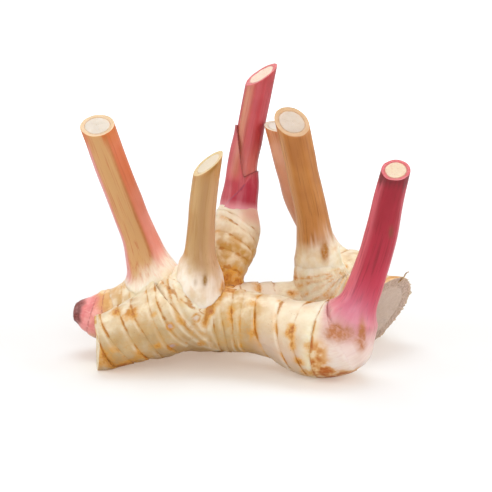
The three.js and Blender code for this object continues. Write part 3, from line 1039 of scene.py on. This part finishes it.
def make_stem(spec, seed):
    """A stem as a grid: point = centre(s) + (radius(s) + fine ribs) * outward(angle), up to its cut."""
    path = Path(spec["stations"])
    angle = np.linspace(0, 2 * np.pi, STEM_SIDES, endpoint=False)
    start_line, end_line = trimmed(spec, path, angle)
    start, end = start_line.mean(), end_line.mean()
    rows = np.linspace(start, end, int((end - start) / STEM_PITCH) + 1)[:, None]
    share = (rows - start) / (end - start)
    distance = rows + (start_line - start) * (1 - share) + (end_line - end) * ease(rows, end - 25, end)
    skin = plain, _, grain = skin_at(path, distance, angle)
    drawn_out = grain * (1, 1, 0.05)
    relief = 0.09 * lumps(drawn_out, 1.3, seed) + 0.2 * lumps(plain, 9.0, seed + 1)
    relief += 0.12 * lumps(drawn_out, 3.5, seed + 2)
    values = {key: np.zeros(distance.shape) for key in ("cut", "core")}
    return raised(path, (start, end), distance, angle, skin, relief, values)


stems = {name: make_stem(spec, 500 + 7 * n) for n, (name, spec) in enumerate(STEMS.items())}
limbs = {name: make_limb(spec, 31 * (n + 1)) for n, (name, spec) in enumerate(LIMBS.items())}
for name, limb in limbs.items():
    for key, at_start in (("start_cut", True), ("end_cut", False)):
        if key in LIMBS[name]:
            flat_end(limb, LIMBS[name][key], at_start, LIMBS[name].get("frayed", 0.0))
        else:
            round_end(limb, at_start)
dress_limbs(limbs)
blend_limbs(limbs, FILLET)
darken_joins(limbs)
seam_feet(limbs, stems)
limb_meshes = [closed_skin(name, limb["grid"], limb["values"]) for name, limb in limbs.items()]
rhizome_mesh = joined("rhizome", limb_meshes)
rest_on_floor(rhizome_mesh)
add_piece("rhizome_body", rhizome_mesh, rhizome_look(), "rhizome")


# Colours from 0 to 255. The skin has two that cloud into each other and one for its fibres.
STEM_LOOKS = {
    "stem_left": dict(
        skin=[(212, 114, 68), (218, 134, 94), (192, 96, 52)], foot=[(250, 236, 218), (246, 216, 194)],
        stripe=(212, 162, 104), mark=(184, 112, 52), rim=(222, 190, 150), core=(216, 204, 188),
        edge=(228, 160, 158), tip=(206, 112, 44), flush=(240, 160, 148),
    ),
    "stem_front": dict(
        skin=[(202, 162, 108), (190, 148, 92), (176, 128, 72)], foot=[(250, 236, 224), (232, 208, 182)],
        stripe=(182, 136, 86), mark=(150, 104, 20), rim=(222, 196, 146), core=(228, 214, 190),
        edge=(198, 152, 108), tip=(186, 132, 68), seam=[(250, 236, 218), (232, 208, 174)],
    ),
    "stem_back": dict(
        skin=[(196, 72, 78), (184, 58, 66), (168, 54, 58)], foot=[(226, 130, 130), (206, 100, 104)],
        stripe=(200, 132, 92), mark=(150, 70, 60), rim=(212, 106, 108), core=(240, 214, 192),
        edge=(184, 68, 76), tip=(178, 60, 62), flush=(224, 132, 118),
    ),
    "stem_brown": dict(
        skin=[(196, 132, 62), (180, 114, 48), (150, 88, 32)], foot=[(250, 240, 226), (232, 206, 172)],
        mark=(176, 112, 16), rim=(208, 168, 126), core=(208, 190, 172), edge=(206, 156, 104),
        tip=(190, 122, 52),
    ),
    "stem_rear": dict(
        skin=[(234, 184, 152), (228, 172, 136), (208, 146, 104)], foot=[(242, 226, 206), (222, 190, 152)],
        mark=(176, 124, 60), rim=(230, 214, 190), core=(236, 228, 214), edge=(226, 160, 146),
        tip=(206, 134, 80),
    ),
    "stem_right": dict(
        skin=[(170, 22, 46), (158, 16, 38), (132, 14, 28)], foot=[(242, 226, 212), (236, 214, 200)],
        stripe=(196, 46, 72), mark=(184, 114, 64), rim=(204, 84, 92), core=(226, 204, 172),
        edge=(216, 100, 112), tip=(122, 16, 28), flush=(220, 136, 158), rust=(190, 98, 10),
    ),
}
STEM_VALUES = ("mark", "rust", "flush", "foot", "stripe", "edge", "root")
# Places on the stems that a colour gathers at: [x, y, z, reach in x, y and z, strength].
STEM_PATCHES = {
    "stem_front": {
        "mark": [[-18, -28.4, 45.3, 0.9, 5, 2.3, 1.6], [-22.5, -28, 44.5, 0.8, 5, 1.8, 0.6]],
        "rust": [[-9.5, -21, 39, 2.6, 6, 3.6, 0.9]],
    },
    "stem_brown": {"mark": [[40, 6.5, 50.5, 1.9, 10, 4.2, 1.8], [24.5, 14, 42, 1.8, 9, 8, 0.7]]},
    "stem_right": {
        "mark": [[54.2, -48, 24, 1.5, 12, 6.5, 2.2]],
        "rust": [
            [32, -49, 12, 6.5, 10, 7, 0.6], [34, -49, 19.5, 4.5, 12, 4.5, 0.5],
            [32, -46, 4, 8, 12, 7, 2.2], [47, -44, 3, 12, 16, 4.2, 1.2],
        ],
        "flush": [[50, -46, 32, 10, 14, 11, 0.9], [53, -44, 17, 7, 9, 8, 0.2]],
    },
}
SMUDGES = [[42.5, -48, 26.4, 5.5, 14, 3.3, 2.4], [47, -48, 25, 3.5, 14, 3, 0.7]]
BRUISE = [[66.5, -47, 72.9, 1.1, 6, 2.6, 1]]

for name, stem in stems.items():
    round_end(stem, True, 0.4)
    flat_end(stem, STEMS[name]["end_cut"], False)
bulb = make_stem(BULB, 601)
flat_end(bulb, BULB["start_cut"], True)
bulb["values"]["cut"][:] = 0
round_end(bulb, False, 1.0)
blend_limbs({"upright": stems["stem_right"], "bulb": bulb}, BULB_ROUND)


def patches(points, places):
    """The sum of patches from a table of places, reaches and strengths."""
    return sum(place[6] * patch(points, place[:3], place[3:6]) for place in places)


def streaks(stem, seed):
    """Unevenness drawn out along the stem, a millimetre across and far longer."""
    drawn_out = stem["values"]["grain"] * (1, 1, 0.07)
    return lumps(drawn_out, 1.1, seed) + 0.6 * lumps(drawn_out, 2.6, seed)


def dress_stem(name, stem):
    """Colours of one stem, in bands across it (by sin of the angle from its front) and up it (by height)."""
    values, points = stem["values"], stem["grid"]
    across, facing = np.sin(stem["angle"]), np.cos(stem["angle"])
    rise = stem["distance"] + 2.2 * streaks(stem, 91)
    top = stem["span"][1]
    height = points[..., 2] + 1.8 * streaks(stem, 92)
    # edge lays a colour along a stem's left and right sides as seen from the camera; on the left and right
    # stems it is lighter than the skin, a painted rim of light.
    visible = ease(facing, -0.5, -0.1)
    for key in STEM_VALUES:
        values[key] = np.zeros(rise.shape)
    for key, places in STEM_PATCHES.get(name, {}).items():
        values[key] += patches(points, places)
    values["tip"] = ease(rise, top - 11, top)
    if name == "stem_left":
        foot_line = rise - 5.5 * across
        values["foot"] = 1 - ease(foot_line, 12, 25)
        values["tip"] = 1.4 * ease(rise, top - 13, top - 1) * ease(np.abs(across + 0.25), 0.25, 0.6)
        values["stripe"] = ease(across, -0.86, -0.62) * (1 - ease(across, 0.3, 0.5)) * visible
        values["edge"] = (1 - ease(across, -0.93, -0.7)) * visible
        values["mark"] = 0.7 * bell(across - 0.4, 0.08) * visible * ease(rise, 14, 30)
        pink = ease(across, 0.35, 0.65) * visible * ease(foot_line, 12, 22)
        values["flush"] = 0.9 * (1 - ease(rise, 34, 70)) * pink
    if name == "stem_front":
        values["foot"] = 1 - ease(rise + 4 * across, 7, 22)
        values["edge"] = ease(across, 0.3, 0.75) * visible
        values["stripe"] = 0.9 * bell(across - 0.05, 0.4) * visible
        below_rim = points[..., 2] - 97.4 - 0.95 * (points[..., 0] + 14.1)
        values["mark"] += 0.9 * bell(below_rim, 1.2) * bell(points[..., 0] + 13.7, 2.6) * visible
    if name == "stem_back":
        values["foot"] = 1 - ease(rise, 4, 9)
        values["stripe"] = 0.75 * ease(across, -1.0, -0.8) * (1 - ease(across, -0.7, -0.1)) * visible
        values["edge"] = ease(across, 0.35, 0.9) * visible
        values["flush"] = 0.75 * (1 - ease(height, 84, 108))
    if name == "stem_brown":
        values["foot"] = 1 - ease(rise - 7 * across + 5 * streaks(stem, 94), 8, 37)
        values["edge"] = (1 - ease(across, -0.9, -0.45)) * visible
    if name == "stem_rear":
        values["foot"] = 1 - ease(rise, 14, 25)
        values["edge"] = ease(across, 0.2, 0.7) * visible
    if name == "stem_right":
        bruise = patches(points, BRUISE)
        smudged = np.clip(0.75 + 0.5 * lumps(points, 2.4, 95), 0, 1)
        values["foot"] = 1 - ease(height + 0.5 * (points[..., 0] - 50), 17, 40)
        values["stripe"] = 1 - ease(height, 38, 82)
        values["tip"] = 1.3 * ease(rise, top - 9, top - 3) + 1.3 * bruise
        values["edge"] = (0.8 * (1 - ease(across, -0.95, -0.6)) + 0.6 * ease(across, 0.7, 0.95)) * visible
        values["mark"] += 0.3 * bruise + smudged * patches(points, SMUDGES)
    if "rooted" in values:
        from_root = values.pop("rooted")
        values["root"] = 1 - ease(from_root, 0.3, 6.0)
        values["rust"] += 0.3 * torn_skin(points, 93) * np.exp(-np.abs(from_root - 1.5) / 1.2)
    for key in STEM_VALUES:
        values[key] = np.clip(values[key] * (1 - values["cut"]), 0, 1)


def dress_bulb(bulb):
    """Colours of the bulb: the right stem's own, with the root's skin and rust along the seam."""
    dress_stem("stem_right", bulb)
    values, from_seam = bulb["values"], bulb["distance"] - bulb["distance"][0]
    values["root"] = 1 - ease(from_seam, 0, 6)
    values["rust"] = np.clip(values["rust"] + 0.7 * bell(from_seam, 0.7), 0, 1)
    for key in ("tip", "edge"):
        values[key][:] = 0


for name, stem in stems.items():
    dress_stem(name, stem)
    mesh = closed_skin(name, stem["grid"], stem["values"])
    if name == "stem_right":
        dress_bulb(bulb)
        mesh = joined(name, [mesh, closed_skin("bulb", bulb["grid"], bulb["values"])])
        rest_on_floor(mesh)
    add_piece(f"{name}_skin", mesh, stem_look(f"{name}_skin", **STEM_LOOKS[name]), name)


# ---- leaf sheath and bud ----

def make_sheath():
    """The sheath round the back stem, a wall 0.9 mm thick that is open at its right.

    Its outside is centre(s) + radius(s) * outward(angle), with s run from 0 to the rim's height at that
    angle. The rim follows the two planes that bound the opening, evened out over seven of the angles.
    """
    path = Path(SHEATH["stations"])
    angle = np.linspace(-np.pi, np.pi, SHEATH_SIDES, endpoint=False) + 1.5
    trial = np.linspace(0, path.length, SHEATH_STEPS)
    points = skin_at(path, trial[:, None] + 0 * angle, angle)[0]
    opened = (past_plane(points, SHEATH["slant"]) > 0) & (past_plane(points, SHEATH["level"]) > 0)
    rim = trial[np.where(opened.any(axis=0), opened.argmax(axis=0), len(trial) - 1)]
    wide = np.concatenate([rim[-3:], rim, rim[:3]])
    rim = sum(wide[k:k + len(rim)] for k in range(7)) / 7
    up = np.linspace(0, 1, SHEATH_ROWS)[:, None]
    inwards, below_rim = RIM_ROWS.T[..., None]
    distance = np.vstack([up * rim, rim - below_rim])
    depth = np.vstack([0 * up, inwards])
    plain, outward, grain = skin_at(path, distance, angle)
    across, facing = np.sin(angle) + 0 * distance, np.cos(angle) + 0 * distance
    crease = (distance - 4.0) / 12.0 - (across + 0.75) / 0.9
    flap = ease(-crease, -0.03, 0.03) * ease(facing, -0.3, 0.0) * (1 - ease(distance, 18, 24))
    outside = 0.1 * lumps(grain * (1, 1, 0.06), 1.5, 301) + 0.25 * lumps(plain, 7.0, 302)
    outside += 0.3 * np.exp(-(rim - distance) / 3.0)
    relief = outside * (depth == 0) + 0.45 * flap
    values = {
        "flap": flap, "rim": np.exp(-(rim - distance) / 0.8) * (depth < 1), "grain": grain,
        "line": bell(crease, 0.035) * ease(facing, -0.3, 0.0) * (1 - ease(distance, 16, 17)),
        "tan": bell(across + 0.45, 0.3) * ease(facing, 0, 0.3) * ease(distance, 16, 24),
        "foot": 1 - ease(distance, 2.0, 8.5),
    }
    return closed_skin("leaf_sheath", plain + (relief - depth)[..., None] * outward, values)


def sheath_look():
    """Crimson leaf skin with a darker flap, purple edges and a pale foot."""
    look = Look("sheath_skin")
    value, between = look.value, look.between
    fibres = look.noise(1.1, look.stretched("grain", (1.0, 1.0, 0.04)), 4.0)
    clouds = look.noise(90.0)
    fine = look.noise(700.0)
    colour = look.layered((204, 80, 88), [
        ((188, 60, 72), between(clouds, 0.35, 0.65)),
        ((158, 50, 52), between(fibres, 0.5, 0.72) * 0.5),
        ((196, 120, 92), value("tan") * 0.8),
        ((178, 34, 60), value("flap") * between(clouds, 0.2, 0.6, 0.6, 0.95)),
        ((128, 58, 84), value("line") * between(fine, 0.2, 0.6, 0.5, 0.9)),
        ((150, 70, 66), value("rim") * between(fine, 0.3, 0.6, 0.4, 0.9)),
        ((246, 172, 180), value("foot")),
    ])
    return look.finish(colour, between(fibres, 0.3, 0.7, 0.32, 0.46), look.bump(fibres, 0.0004, 0.5))


def make_bud():
    """The shoot bud: a tapering limb wrapped in two overlapping scales, with a shrivelled tip.

    Each scale rises as the square of the distance to its end and drops there.
    """
    path = Path(BUD)
    angle = np.linspace(0, 2 * np.pi, BUD_SIDES, endpoint=False)
    first, second = SCALE_ENDS
    rows = np.r_[np.linspace(0, path.length, BUD_ROWS), first + LIP_ROWS, second + LIP_ROWS]
    rows = np.unique(rows)[:, None]
    distance = rows + 2.0 * np.cos(angle + 0.6) * np.sin(np.pi * rows / path.length)
    skin = plain, _, grain = skin_at(path, distance, angle)
    steps = 0.3 * np.where(rows < first, (rows / first) ** 2, 0)
    steps = steps + 0.35 * np.where(rows < second, (rows / second) ** 2, 0)
    drawn_out, tip = grain * (1, 1, 0.15), ease(distance, 17.5, 24)
    relief = steps + 0.5 * lumps(plain, 7.0, 401) + 0.12 * lumps(drawn_out, 1.4, 402)
    relief += 0.45 * tip * lumps(drawn_out, 2.0, 403)
    values = {
        "dead": ease(distance + 1.2 * lumps(plain, 3.0, 404), 19.5, 22.5),
        "base": 1 - ease(distance + 2.5 * lumps(plain, 5.0, 405) + 2.0 * np.cos(angle), 8.0, 19.0),
        "line": bell(rows - first - 0.1, 0.4) + bell(rows - second - 0.1, 0.35) + 0 * distance,
    }
    bud = raised(path, (0, path.length), distance, angle, skin, relief, values)
    round_end(bud, True, 0.4)
    round_end(bud, False, 0.35)
    return closed_skin("shoot_bud", bud["grid"], bud["values"])


def bud_look():
    """Rose-pink scales, yellowish where the bud leaves the root and dark brown at its dry tip."""
    look = Look("bud_skin", **FLESH)
    value, between = look.value, look.between
    fibres = look.noise(1.0, look.stretched("grain", (1.0, 1.0, 0.1)), 4.0)
    clouds = look.noise(120.0)
    fine = look.noise(800.0)
    straw = look.mix((250, 220, 168), (222, 172, 104), between(clouds, 0.42, 0.62))
    colour = look.layered((240, 158, 154), [
        ((222, 120, 118), between(clouds, 0.35, 0.65)),
        ((244, 184, 170), between(fibres, 0.5, 0.7) * 0.4),
        (straw, value("base") * between(clouds, 0.2, 0.6, 0.7, 1.0)),
        ((170, 70, 60), value("line") * between(fine, 0.35, 0.6) * 0.7),
        ((118, 48, 40), value("dead") * between(fine, 0.2, 0.55, 0.6, 1.0)),
    ])
    height = fibres * 0.6 + fine * 0.4
    return look.finish(colour, between(fine, 0.3, 0.7, 0.38, 0.55), look.bump(height, 0.0004, 0.5))


def make_root_hair(base):
    """A dry root hair: a thin round section carried along a bent path, tapering to its tip."""
    path = Path(np.array(HAIR_BENDS) + np.r_[base, 0] + ORIGIN)
    angle = np.linspace(0, 2 * np.pi, HAIR_SIDES, endpoint=False)
    distance = np.linspace(0, path.length, HAIR_ROWS)[:, None] + 0 * angle
    return closed_skin("root_hair", skin_at(path, distance, angle)[0], {})


def hair_look():
    """Dry straw brown."""
    look = Look("root_hair", Roughness=0.6)
    return look.finish(look.mix((214, 186, 140), (150, 112, 70), look.between(look.noise(900.0), 0.35, 0.65)))


torn_end = limbs["rear"]["grid"].reshape(-1, 3)
hair_base = torn_end[np.linalg.norm(torn_end - HAIR_PLACE, axis=1).argmin()]
add_piece("root_hair", make_root_hair(hair_base), hair_look(), "rhizome", replaces=False)
add_piece("leaf_sheath_skin", make_sheath(), sheath_look(), "leaf_sheath")
add_piece("shoot_bud_skin", make_bud(), bud_look(), "shoot_bud")


# ---- camera, light and floor ----

camera_data = bpy.data.cameras.new("camera")
camera_data.lens = 100
camera_data.sensor_width = 36  # mm, like the lens
camera = bpy.data.objects.new("camera", camera_data)
camera.location = (0.00118, -0.6458, 0.2157)
camera.rotation_euler = (math.radians(76), 0, 0)
bpy.context.collection.objects.link(camera)
bpy.context.scene.camera = camera
bpy.context.scene.view_settings.view_transform = "Standard"


def soft_lamp(name, place, target, size, watts):
    """A square lamp at the place, turned to the target, in metres."""
    lamp_data = bpy.data.lights.new(name, "AREA")
    lamp_data.shape = "SQUARE"
    lamp_data.size = size
    lamp_data.energy = watts
    lamp = bpy.data.objects.new(name, lamp_data)
    lamp.location = place
    lamp.rotation_euler = (Vector(target) - Vector(place)).to_track_quat("-Z", "Y").to_euler()
    bpy.context.collection.objects.link(lamp)


soft_lamp("lamp_above", (0.0, 0.3, 0.92), (0, 0, 0.04), 0.6, 4.0)
soft_lamp("lamp_front", (0.1, -0.85, 0.45), (0, 0, 0.04), 0.6, 3.0)
soft_lamp("lamp_left", (-0.75, -0.15, 0.35), (0, 0, 0.05), 0.5, 2.5)
soft_lamp("lamp_right", (0.75, -0.15, 0.35), (0, 0, 0.05), 0.5, 2.5)

world = bpy.data.worlds.new("studio")
world.use_nodes = True
bpy.context.scene.world = world
studio = Nodes(world.node_tree)
camera_ray, glossy_ray, through_ray = (
    studio.node("ShaderNodeLightPath", output=f"Is {kind} Ray")
    for kind in ("Camera", "Glossy", "Transmission")
)
seen = camera_ray + glossy_ray + through_ray
background = studio.tree.nodes["Background"]
background.inputs["Color"].default_value = (1, 1, 1, 1)
studio.tree.links.new(studio.between(seen, 0, 1, 0.36, 1.0).socket, background.inputs["Strength"])

floor_mesh = bpy.data.meshes.new("floor")
floor_mesh.from_pydata([(-3, -3, 0), (3, -3, 0), (3, 3, 0), (-3, 3, 0)], [], [(0, 1, 2, 3)])
floor = bpy.data.objects.new("floor", floor_mesh)
bpy.context.collection.objects.link(floor)
floor_look = Look("floor_white", Roughness=0.9, Emission_Strength=1.0)
floor_seen = floor_look.node("ShaderNodeLightPath", output="Is Camera Ray")
length = {"operation": "LENGTH"}
away = floor_look.node("ShaderNodeVectorMath", length, {0: floor_look.place()}, output="Value")
# The floor glows for camera rays alone, less and warmer near the object over a bluish diffuse colour, so that
# open floor stays white while shadow on it reads brownish: a painted warm tint in the shadow.
shade = floor_look.mix((0.73, 0.73, 0.73, 1), (0.53, 0.65, 0.72, 1), floor_seen)
glow = floor_look.mix((0.43, 0.3, 0.22, 1), (0.86, 0.82, 0.79, 1), floor_look.between(away, 0.09, 0.8))
floor_look.finish(shade, glow=floor_look.mix((0, 0, 0, 1), glow, floor_seen))
floor_mesh.materials.append(floor_look.material)
